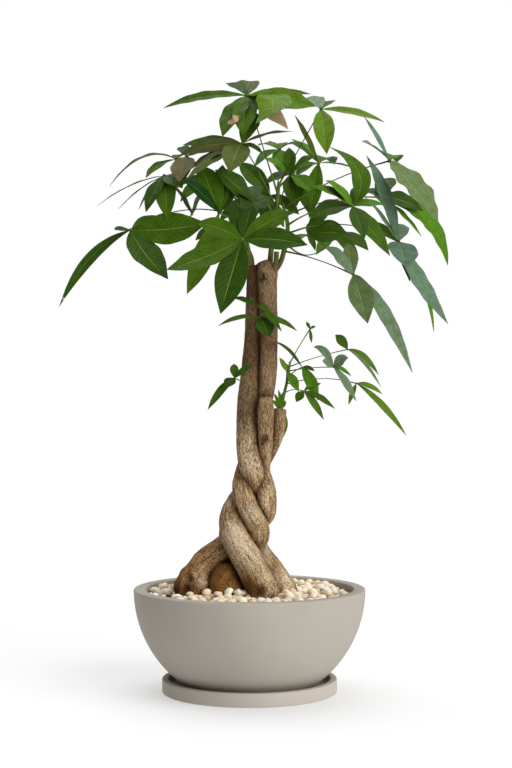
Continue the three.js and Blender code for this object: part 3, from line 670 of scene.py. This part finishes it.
# Shoots. Green shoots that grew from the cut stems after the plait was cut back: woody and brownish at
# the root and green above. One is a cut stub with no leaves.
# Each shoot: right, back, up and radius in millimetres, from its root up.
SHOOTS = {
    'shoot_left': [
        (3, 4, 650, 4.4), (0, 1, 674, 4), (-5, 2, 700, 3.8), (-9, 4, 732, 3.4), (-16, 6, 768, 2.9),
        (-18, 10, 792, 2.5)],
    'shoot_middle': [
        (31, 6, 656, 4.6), (34, 9, 690, 4.2), (38, 12, 722, 3.8), (42, 13, 755, 3.4), (46, 12, 792, 2.8)],
    'shoot_right': [
        (36, 3, 648, 3.6), (47, 2, 664, 4), (54, 2, 686, 4), (59, 4, 710, 3.6), (58, 6, 735, 3.2),
        (52, 8, 756, 2.6)],
    'shoot_stub': [(34, -9, 646, 4.2), (40, -11, 662, 4.2), (42, -11, 682, 4)],
    'shoot_sprig': [(48, -6, 430, 2.8), (51, -5, 450, 2.6), (58, -3, 480, 2.2), (63, -2, 512, 1.7)],
}


def tube(points, roundness):
    """A closed round tube along points with radii, all in millimetres."""
    line = smooth_line(points)
    line.data.bevel_depth = 0.001
    line.data.bevel_resolution = roundness
    line.data.resolution_u = 6
    line.data.use_fill_caps = True
    bpy.ops.object.convert(target='MESH')
    bpy.ops.object.mode_set(mode='EDIT')
    bpy.ops.mesh.select_all(action='SELECT')
    bpy.ops.mesh.remove_doubles(threshold=0.00002)
    bpy.ops.mesh.normals_make_consistent(inside=False)
    bpy.ops.object.mode_set(mode='OBJECT')
    bpy.ops.object.shade_smooth_by_angle(angle=math.radians(50))
    return bpy.context.object


finish = Finish('green_shoot')
place = finish.place()
height = finish.split(place)[2]
streak = finish.grain(finish.scaled(place, (500, 500, 60)), 1.0, detail=4.0)
woody = height.between(0.70, 0.655) * height.between(0.56, 0.62) * (0.55 + streak * 0.6)
tone = finish.mix(streak.between(0.35, 0.65), paint(56, 82, 22), paint(98, 124, 44))
tone = finish.mix(woody, tone, paint(96, 78, 46))
finish.raise_by(streak, 0.5, 0.001)
green_shoot = finish.surface(Base_Color=tone, Roughness=0.55, Specular_IOR_Level=0.2)
for name, points in SHOOTS.items():
    shoot = tube(points, 3)
    shoot.name = name + '_wood'
    shoot.data.materials.append(green_shoot)
    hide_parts(name)
    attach(shoot, 'root')

# Leaves. Hand-shaped leaves, each a long thin stalk from a shoot with up to nine leaflets round its
# end. A leaflet is a thin blade, folded along its pale midrib, with side veins and a slightly wavy edge.

# Each leaf: the root of its stalk, its hub, the rise of the stalk, the way its blades face, a tone for
# each leaflet, and the leaflets: tip from the hub (right, back, up), width, arch, roll and sway, in
# millimetres and degrees.
LEAVES = {
    'fan_front': ((-1, 1, 677), (-10, -120, 691), 0, (-0.1, -0.95, 0.4), 'dmddmmd', [
        (96, -20, -10, 34, 4, 0), (74, 15, 43, 28, 4, 0), (15, 40, 55, 24, 4, 0), (-10, 50, 55, 28, 4, 0),
        (-69, 10, 26, 28, 4, 0), (-111, -30, -47, 36, -4, 0), (-32, -35, -112, 42, 2, 0),
    ]),
    'fan_behind': ((-7, 3, 712), (-46, -60, 737), 4, (0, -1, 0.3), 'gmmld', [
        (-55, -50, 45, 17, 6, 0), (-30, 10, 74, 38, 4, 0), (5, 20, 76, 28, 4, 0),
        (-48, -25, -125, 30, -6, 0), (22, 20, 42, 20, 3, 0),
    ]),
    'left_low': ((-10, 4, 735), (-180, -60, 711), 22, (0.1, -0.6, 0.8), 'ddmmmd', [
        (-108, -10, -118, 15, 16, -35, -7), (60, -60, -79, 45, 0, 0, -6), (116, -25, 8, 44, -4, 44),
        (58, 50, 14, 20, 12, 0), (100, 50, 14, 24, 8, 0), (-22, -35, -3, 18, 0, 0),
    ]),
    'left_mid': ((-12, 5, 746), (-131, -30, 797), 10, (-0.3, -0.3, 0.9), 'mmmdmmm', [
        (-104, 10, -45, 13, 8, 0), (-74, 40, -47, 9, 6, 0), (-44, 60, -46, 10, 8, 0),
        (-26, -35, -60, 26, 6, 0), (8, -50, -74, 30, 8, 0), (30, -40, -24, 26, 4, 0),
        (44, 20, -60, 26, 4, 0),
    ]),
    'left_high': ((-16, 6, 765), (-116, 40, 832), 12, (-0.2, -0.3, 0.9), 'mmm', [
        (-105, -10, -44, 26, 24, 0), (-45, -50, -36, 30, 6, 0), (10, 50, 14, 24, 4, 0),
    ]),
    'left_near': ((-14, 6, 757), (-97, -20, 828), 6, (-0.1, -0.6, 0.8), 'pdmd', [
        (-9, -55, -46, 34, 4, 0), (48, -30, 8, 22, 4, 0), (-4, -20, -40, 20, 4, 0),
        (-12, 50, 22, 18, 4, 0),
    ]),
    'front_upper': ((-8, 3, 724), (4, -40, 756), 2, (0, -0.8, 0.6), 'dddd', [
        (-57, -20, 46, 34, 4, 0), (6, 44, 30, 24, 4, 0), (-20, -30, 10, 14, 2, 0),
        (20, -46, -16, 22, 4, 0),
    ]),
    'top': ((44, 12, 774), (-4, -20, 922), 0, (0, -0.3, 0.95), 'mdotllmmo', [
        (-131, 30, -14, 18, 9, -30), (-33, 60, 30, 24, 6, 0), (4, 84, 38, 32, 6, 0),
        (64, 12, -50, 28, 6, 50), (106, -20, -20, 37, 2, 42), (13, -66, -54, 50, 12, 0, 34),
        (-6, -58, -70, 34, 4, 0), (-37, -50, -71, 38, 4, 0), (100, 30, 8, 17, 4, 35),
    ]),
    'top_front': ((42, 13, 752), (-11, -60, 842), 4, (0, -0.5, 0.85), 'kopmmddo', [
        (-93, -30, -21, 18, 6, -55), (-18, -60, -52, 38, 6, 0), (76, -20, 15, 14, 5, 0),
        (24, 24, 50, 28, 4, 0), (-92, 40, 4, 20, 4, -30), (31, -30, -20, 12, 4, 0),
        (-82, 6, -40, 30, 4, 0), (-84, -26, -58, 28, 4, 0),
    ]),
    'top_right': ((46, 12, 789), (112, 20, 908), 0, (0, -0.3, 0.95), 'llbm', [
        (99, -10, -22, 16, 6, 30), (7, -50, -78, 30, 6, 0), (-25, 54, 26, 33, 6, 0),
        (15, 64, 22, 30, 6, 0),
    ]),
    'back_right': ((45, 12, 784), (112, 110, 836), 8, (0, -0.3, 0.95), 'vomvvm', [
        (-44, 30, 44, 24, 4, 0), (-39, 0, 78, 14, 2, 0), (84, 20, -17, 22, 6, 0),
        (-38, -30, -26, 24, 6, 0), (-16, -20, -92, 26, 4, 0), (30, 90, 10, 28, 10, 0),
    ]),
    'mid_back': ((44, 12, 768), (48, 100, 856), 4, (0, -0.3, 0.95), 'vvvmvv', [
        (-4, 70, 18, 28, 6, 0), (-35, 30, 11, 24, 6, 0), (-40, -20, -30, 26, 6, 0),
        (48, -10, -11, 20, 14, 0), (6, -40, -50, 28, 6, 0), (30, 20, -70, 28, 6, 0),
    ]),
    'mid_front': ((40, 12, 738), (64, 24, 806), 4, (0, -0.5, 0.85), 'vmvmmvm', [
        (-40, -10, 23, 26, 4, 0), (-2, 10, 44, 18, 4, 0), (36, -20, 24, 28, 4, 0),
        (-42, 4, -16, 26, 4, 0), (8, -10, -54, 30, 6, 0), (38, -22, -34, 28, 4, 0), (30, 6, -62, 24, 4, 0),
    ]),
    'mid_low': ((38, 12, 724), (32, 24, 772), 4, (0, -0.6, 0.8), 'mmvmm', [
        (-50, 20, 56, 31, 4, 0), (-22, -40, -26, 28, 4, 0), (6, 52, 2, 24, 4, 0),
        (46, 8, -28, 26, 4, 0), (-52, 24, 4, 26, 4, 0),
    ]),
    'back_left': ((-18, 9, 787), (-62, 150, 814), 6, (0, 0.3, 0.95), 'mdmvo', [
        (-56, 62, -30, 26, 8, 0), (-62, 6, -14, 24, 8, 0), (6, 88, -26, 28, 8, 0),
        (48, 60, -22, 26, 8, 0), (-38, -20, -70, 28, 4, 0),
    ]),
    'back_middle': ((41, 13, 747), (12, 146, 782), 8, (0, 0.3, 0.95), 'mdvmd', [
        (-64, 44, -34, 26, 8, 0), (-20, 92, -44, 28, 10, 0), (46, 78, -40, 28, 8, 0),
        (-42, -10, -50, 24, 4, 0), (30, 10, -66, 26, 4, 0),
    ]),
    'back_low': ((-5, 2, 698), (-38, 120, 722), 10, (0, 0.4, 0.9), 'dmmv', [
        (-52, 30, -8, 26, 8, 0), (-30, 84, -30, 26, 10, 0), (46, 66, -66, 28, 8, 0),
        (-10, 20, -50, 22, 4, 0),
    ]),
    'back_side': ((57, 3, 695), (140, 150, 722), -24, (0, 0.4, 0.9), 'mvdmv', [
        (60, 60, -20, 26, 8, 0), (24, 80, -14, 28, 10, 0), (-40, 70, -6, 26, 8, 0),
        (40, 10, -40, 24, 4, 0), (-30, 20, -30, 22, 4, 0),
    ]),
    'right_high': ((53, 8, 752), (215, -30, 820), 8, (0.1, -0.4, 0.9), 'sbbhv', [
        (-38, 20, 72, 10, 4, 0), (-45, -40, 24, 30, 4, 0), (56, 40, -41, 18, 10, 0),
        (71, -40, -100, 60, 6, 0), (20, 90, 10, 28, 10, 0),
    ]),
    'right_front': ((58, 5, 724), (154, -110, 741), 10, (0, -0.6, 0.8), 'vmmdvdmm', [
        (-42, -20, 36, 30, 4, 0), (-60, -40, 24, 32, 4, 0), (-35, 20, 92, 28, 4, 0, 28),
        (24, 60, 41, 24, 4, 0), (50, 30, 5, 24, 4, 0), (14, -50, -53, 24, 4, 0), (53, -30, -76, 28, 6, 0, -3),
        (-64, -6, -18, 32, 6, 0),
    ]),
    'right_out': ((59, 4, 712), (228, -40, 695), 20, (0.1, -0.5, 0.85), 'sbbvssvv', [
        (-49, 0, 132, 24, 4, 0, 4), (-55, -20, 68, 17, 4, 0), (7, 60, 33, 28, 4, 0),
        (-55, 30, 36, 20, 4, 0), (6, -60, -44, 44, 4, 0), (74, -20, -127, 28, 4, 0, -7),
        (17, -10, -63, 14, 4, 0), (58, 34, -138, 14, 6, 0, 10),
    ]),
    'right_back': ((57, 6, 740), (210, 90, 778), 10, (0.1, -0.3, 0.95), 'ddvvvd', [
        (22, 50, 38, 31, 4, 0), (70, 4, -22, 32, 6, 30), (67, 0, -63, 20, 6, 0),
        (113, 30, -108, 36, 22, 38, 18), (10, 90, 0, 28, 10, 0), (-42, 44, 18, 36, 4, 0),
    ]),
    'right_low': ((54, 2, 684), (158, -60, 643), 4, (0, -0.6, 0.8), 'hbmhb', [
        (-9, 10, 49, 21, 4, 0), (-43, -20, 41, 26, 4, -10), (34, 30, -24, 10, 4, 0),
        (19, -40, -76, 34, 4, 0), (88, -20, -150, 23, 18, 0),
    ]),
    'right_inner': ((58, 4, 702), (93, 60, 714), 4, (0, -0.4, 0.9), 'momvvm', [
        (62, -14, 0, 38, 4, 46), (62, 20, -56, 28, 6, -10), (11, -20, -27, 10, 4, 0),
        (-20, 80, -10, 26, 6, 0), (30, 80, 20, 28, 6, 0), (34, 10, 46, 26, 4, 0),
    ]),
    'sprout_upper': ((20, -6, 602), (13, -50, 596), 2, (0, -0.7, 0.7), 'dmm', [
        (-39, -10, 11, 12, 3, 0), (16, -20, -9, 10, 2, 0), (36, -20, -40, 12, 4, 0),
    ]),
    'sprout_lower': ((20, -6, 588), (15, -52, 579), 2, (0, -0.7, 0.7), 'mdm', [
        (-63, 0, -14, 10, 6, 0), (16, -14, -31, 26, 2, 0), (58, 10, -21, 13, 6, 0),
    ]),
    'sprout_left': ((31, -24, 449), (-23, -34, 486), 4, (0, -0.7, 0.7), 'mmmd', [
        (-1, 10, 22, 12, 2, 0), (29, -10, 18, 12, 3, 0), (-41, -10, -49, 13, 5, 0),
        (-14, -20, -16, 16, 2, 0),
    ]),
    'sprig_top': ((63, -2, 510), (95, 26, 563), 2, (0, -0.7, 0.7), 'lll', [
        (-6, 4, 12, 5, 1, 0), (2, -6, -22, 5, 1, 0), (9, 4, 5, 5, 1, 0),
    ]),
    'sprig_left': ((59, -3, 487), (82, 8, 503), 2, (0, -0.7, 0.7), 'mvm', [
        (-46, -32, 39, 9, 8, 0), (25, -6, -52, 19, 4, 0), (20, 4, -6, 8, 2, 0),
    ]),
    'sprig_far': ((62, -2, 504), (153, 10, 531), 2, (0, -0.7, 0.7), 'mlb', [
        (-19, 4, 23, 16, 2, 0), (50, 10, -41, 10, 10, 0), (52, -10, -60, 6, 9, 0),
    ]),
    'sprig_mid': ((60, -3, 497), (130, -20, 503), 2, (0, -0.7, 0.7), 'bbbbv', [
        (-31, 4, 31, 13, 9, 0), (-18, -8, 9, 16, 2, 0), (22, -8, 14, 20, 3, 0),
        (35, 4, -53, 13, 4, 0), (28, 12, -14, 10, 3, 0),
    ]),
    'sprig_out': ((57, -3, 477), (168, 26, 478), 8, (0, -0.7, 0.7), 'lll', [
        (41, 6, -17, 11, 4, 0), (79, 0, -83, 11, 8, 0), (-13, -8, -34, 8, 2, 0),
    ]),
    'sprig_low': ((54, -4, 463), (84, -10, 466), 4, (0, -0.7, 0.7), 'mmmm', [
        (-12, -6, -17, 13, 1, 0), (31, -4, -45, 11, 4, 0), (49, 6, -28, 12, 4, 0),
        (28, 34, 12, 10, 2, 0),
    ]),
    'sprig_near': ((56, -4, 471), (58, -10, 496), 2, (0, -0.7, 0.7), 'vlv', [
        (18, -6, -31, 14, 2, 0), (-12, -4, 22, 8, 1, 0), (-4, 6, 14, 8, 1, 0),
    ]),
}
# Leaflet tones. The blue-grey greens b, s and h paint in a sheen of reflected sky, and the bright green v
# paints in light shining through the blade; the others are the leaves' own colours.
LEAF_TONES_AND_PAINTED_LIGHT = {
    'd': paint(46, 75, 10), 'm': paint(65, 96, 14), 'l': paint(94, 126, 28), 'v': paint(75, 119, 18),
    'g': paint(20, 58, 12), 'o': paint(74, 86, 28), 'b': paint(110, 132, 104), 'p': paint(100, 90, 54),
    't': paint(176, 150, 116), 's': paint(94, 122, 100), 'h': paint(94, 112, 70),
    'k': paint(70, 72, 34),
}
BLADE_ACROSS = 8
BLADE_ALONG = 20
BLADE_THICKNESS = 0.0005
BLADE_HALF = 0.565
WIDEST_SHARE = 1 / 1.92
FOLD_RISE = 0.24
FOLD_EASE = 0.07
EDGE_WAVE = 0.08
TWIST = 14
LEAF_SEED = 100
STALK_RADII = (1.9, 1.1, 0.9, 0.95, 1.5)
SPROUT_STALK_RADII = (1.2, 0.8, 0.7, 0.8, 1.1)
HUB_RADIUS = 0.0030
SPROUT_HUB_RADIUS = 0.0016
# Withered tan patches: centre and reach in millimetres.
WITHERED = (((-24, -58, 876), 9), ((252, -46, 762), 3), ((262, -52, 742), 3), ((-279, -72, 606), 5))

bpy.ops.object.select_all(action='DESELECT')
bpy.ops.mesh.primitive_grid_add(x_subdivisions=BLADE_ACROSS, y_subdivisions=BLADE_ALONG, size=2)
pattern = bpy.context.object
grid = np.array([vertex.co[:] for vertex in pattern.data.vertices])
across = grid[:, :1]
share = (grid[:, 1:2] + 1) / 2


def outline(at):
    """Half the width of a blade along its length, as a share of its greatest half width."""
    at = np.clip(at, 0, 1)
    widest = WIDEST_SHARE * (1 - WIDEST_SHARE) ** 0.92
    body = at * (1 - at) ** 0.92 / widest * (1 - 0.4 * at ** 5)
    return np.maximum(body, 0.05 * (at < 0.5))


def leaflet(hub, face, tone, tip, width, arch, roll, sway, chance):
    """One blade: a copy of the flat pattern, spread along its midline."""
    facing = np.array(face) / np.linalg.norm(face)
    bow = np.array((sway, 0, arch))
    reach = np.linalg.norm(tip)
    along = tip + bow * 4 * (1 - 2 * share)
    along /= np.linalg.norm(along, axis=1, keepdims=True)
    side = np.cross(along, facing)
    side /= np.linalg.norm(side, axis=1, keepdims=True)
    normal = np.cross(side, along)
    turn = np.radians(roll + chance.uniform(-TWIST, TWIST) * share)
    side, normal = side * np.cos(turn) - normal * np.sin(turn), normal * np.cos(turn) + side * np.sin(turn)
    half = width * BLADE_HALF * outline(share)
    edge = np.abs(across)
    fold = FOLD_RISE * edge * half - FOLD_EASE * edge ** 2 * half
    waves = reach / 32 + chance.uniform(-0.4, 0.4)
    ripple = np.sin(2 * np.pi * waves * share + np.sign(across) * 0.8 + chance.uniform(0, 6))
    ripple *= EDGE_WAVE * width / 2 * edge ** 2 * np.sin(np.pi * share) * chance.uniform(0.5, 1.2)
    spots = hub + tip * share + bow * 4 * share * (1 - share)
    spots = spots + side * across * half + normal * (fold + ripple)
    blade = pattern.copy()
    blade.data = pattern.data.copy()
    bpy.context.collection.objects.link(blade)
    blade.data.vertices.foreach_set('co', (spots / 1000).ravel())
    shade = chance.uniform(0.86, 1.16)
    tint = [channel * shade for channel in LEAF_TONES_AND_PAINTED_LIGHT[tone][:3]]
    layer = blade.data.attributes.new('leaf_tone', 'FLOAT_COLOR', 'POINT')
    layer.data.foreach_set('color', [*tint, 1] * len(blade.data.vertices))
    return blade


def blade_finish(name, pale, gloss):
    """Leaf skin in the blade's tone, painted sheen and light through the blade included, with a pale midrib
    and sunken side veins from its UV map.
    """
    finish = Finish(name)
    aside, along, _ = finish.split(finish.node('ShaderNodeUVMap', {'uv_map': 'UVMap'}, {}))
    out = abs(aside * 2 - 1)
    wander = finish.grain(finish.place(), 60.0)
    rib = out.between(0.04, 0.012) * along.between(1.0, 0.7)
    lane = along * 12 - out * 2.6 + wander * 0.5
    vein = abs(finish.node('ShaderNodeMath', {'operation': 'FRACT'}, {0: lane}) - 0.5)
    vein_line = vein.between(0.38, 0.5)
    mottle = finish.grain(finish.place(), 90.0, detail=4.0)
    tone = finish.attribute('leaf_tone')
    tone = finish.tinted(mottle.between(0.35, 0.7) * 0.5, tone, paint(190, 196, 130))
    tone = finish.mix(pale, tone, paint(112, 132, 84))
    tone = finish.tinted(vein_line * 0.22, tone, paint(180, 190, 130))
    tone = finish.mix(rib * 0.5, tone, paint(146, 162, 66))
    for centre, reach in WITHERED:
        far = finish.node('ShaderNodeVectorMath', {'operation': 'DISTANCE'}, {
            0: finish.place(), 1: [value / 1000 for value in centre]}, output='Value')
        edge = far + (mottle - 0.5) * 0.016
        tone = finish.mix(edge.between(reach / 900, reach / 1100), tone, paint(176, 146, 112))
    puff = (1 - vein_line) * (1 - out.between(0.12, 0.0))
    finish.raise_by(puff * 0.8 + mottle * 0.2, 0.6, 0.0020)
    return finish.surface(
        Base_Color=tone, Roughness=gloss + mottle * 0.14, Specular_IOR_Level=0.08)


finish = Finish('leaf_stalk')
place = finish.place()
band = finish.grain(place, 22.0, detail=2.0)
tone = finish.mix(band.between(0.40, 0.60), paint(48, 54, 18), paint(84, 110, 32))
stalk_finish = finish.surface(Base_Color=tone, Roughness=0.6, Specular_IOR_Level=0.1)
pattern.data.materials.append(blade_finish('leaf_upper', 0.0, 0.40))
pattern.data.materials.append(blade_finish('leaf_under', 0.08, 0.55))


def thicken(piece, under):
    """Gives flat blades their thickness. Their underside takes the finish that comes under places later."""
    body = piece.modifiers.new('body', 'SOLIDIFY')
    body.thickness = BLADE_THICKNESS
    body.offset = 0
    body.material_offset = under
    body.material_offset_rim = under
    bpy.ops.object.modifier_apply(modifier=body.name)
    bpy.ops.object.shade_smooth_by_angle(angle=math.radians(60))


for order, (name, (root, hub, rise, face, tones, leaflets)) in enumerate(LEAVES.items()):
    chance = random.Random(LEAF_SEED + order)
    hub_spot = np.array(hub, dtype=float)
    blades = []
    for tone, (right, back, up, width, arch, roll, *sway) in zip(tones, leaflets):
        tip = np.array((right, back, up), dtype=float)
        blades.append(leaflet(hub_spot, face, tone, tip, width, arch, roll, sum(sway), chance))
    leaf = joined(blades)
    leaf.name = 'leaf_' + name + '_blades'
    bpy.ops.object.mode_set(mode='EDIT')
    bpy.ops.mesh.select_all(action='SELECT')
    bpy.ops.mesh.remove_doubles(threshold=0.00003)
    bpy.ops.object.mode_set(mode='OBJECT')
    thicken(leaf, 1)

    small = name.startswith('spr')
    stalk_points = []
    for along, radius in zip((0, 0.25, 0.5, 0.75, 1), SPROUT_STALK_RADII if small else STALK_RADII):
        spot = np.array(root) + (hub_spot - np.array(root)) * along
        spot[2] += 4 * along * (1 - along) * rise
        stalk_points.append((*spot, radius))
    stalk = tube(stalk_points, 1)
    stalk.data.materials.append(stalk_finish)
    bpy.ops.object.select_all(action='DESELECT')
    bpy.ops.mesh.primitive_ico_sphere_add(
        subdivisions=2, radius=SPROUT_HUB_RADIUS if small else HUB_RADIUS, location=hub_spot / 1000)
    bpy.ops.object.transform_apply(location=True)
    bpy.ops.object.shade_smooth()
    bead = bpy.context.object
    bead.data.materials.append(stalk_finish)
    joined([leaf, stalk, bead])
    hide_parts('leaf_' + name)
    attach(leaf, 'root')

# Sheath. A tuft of small bright blades round the foot of the sprig, where it leaves the cut stem, with
# one bent down behind the stem.
SHEATH_SEED = 8
# Each blade: its foot, its tip from the foot, and its width in millimetres.
SHEATH = (
    ((46, -9, 437), (-9, -5, 26), 5), ((47, -9, 437), (-3, -6, 32), 5), ((47, -8, 437), (3, -5, 27), 5),
    ((45, -9, 437), (-13, -3, 17), 5), ((48, -6, 437), (7, -3, 15), 5), ((50, 3, 438), (3, 3, -44), 11))

blades = []
chance = random.Random(SHEATH_SEED)
for foot, tip, width in SHEATH:
    foot, tip = [np.array(point, dtype=float) for point in (foot, tip)]
    blades.append(leaflet(foot, (0, -1, 0.2), 'v', tip, width, 1, 0, 2, chance))
sheath = joined(blades)
sheath.name = 'sprig_sheath'
thicken(sheath, 0)
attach(sheath, 'root')
bpy.data.objects.remove(pattern)

# Room. A white floor that runs out of sight, a soft key light from the upper right front, a broad one
# overhead and an even sky that only looks white, seen by a level camera at half the plant's height.
FLOOR_SIZE = 60
FLOOR_DROP = 0.0003
FLOOR_TONE = (0.5, 0.5, 0.5, 1)
FLOOR_GLOW = 0.41
SKY_STRENGTH = 0.25
WHITE = (1, 1, 1, 1)
CAMERA_PLACE = (0.010, -2.490, 0.477)
CAMERA_LENS = 75
SENSOR_WIDTH = 36
# Each light: its name, the direction that it comes from, its strength and its spread in degrees.
LIGHTS = (('soft_key', (0.72, -0.60, 0.34), 3.2, 60), ('overhead', (-0.05, 0.30, 0.95), 2.2, 60))

bpy.ops.object.select_all(action='DESELECT')
bpy.ops.mesh.primitive_plane_add(size=FLOOR_SIZE, location=(0, 0, -FLOOR_DROP))
floor = bpy.context.object
floor.name = 'studio_floor'
finish = Finish('floor_white')
finish.surface(Base_Color=FLOOR_TONE, Roughness=1.0, Specular_IOR_Level=0.0)
floor.data.materials.append(finish.surface(Emission_Color=WHITE, Emission_Strength=FLOOR_GLOW))

sky = bpy.data.worlds.new('white_sky')
sky.use_nodes = True
nodes, links = sky.node_tree.nodes, sky.node_tree.links
glow = nodes['Background']
glow.inputs['Color'].default_value = WHITE
glow.inputs['Strength'].default_value = SKY_STRENGTH
seen = nodes.new('ShaderNodeBackground')
seen.inputs['Color'].default_value = WHITE
choice = nodes.new('ShaderNodeMixShader')
links.new(nodes.new('ShaderNodeLightPath').outputs['Is Camera Ray'], choice.inputs[0])
links.new(glow.outputs[0], choice.inputs[1])
links.new(seen.outputs[0], choice.inputs[2])
links.new(choice.outputs[0], nodes['World Output'].inputs['Surface'])
bpy.context.scene.world = sky

for name, toward, energy, spread in LIGHTS:
    bpy.ops.object.light_add(type='SUN', location=Vector(toward) * 2)
    lamp = bpy.context.object
    lamp.name = name
    lamp.rotation_euler = Vector(toward).to_track_quat('Z', 'Y').to_euler()
    lamp.data.energy = energy
    lamp.data.angle = math.radians(spread)

bpy.ops.object.camera_add(location=CAMERA_PLACE, rotation=(math.radians(90), 0, 0))
camera = bpy.context.object
camera.data.lens = CAMERA_LENS
camera.data.sensor_width = SENSOR_WIDTH
bpy.context.scene.camera = camera
bpy.context.scene.view_settings.view_transform = 'Standard'
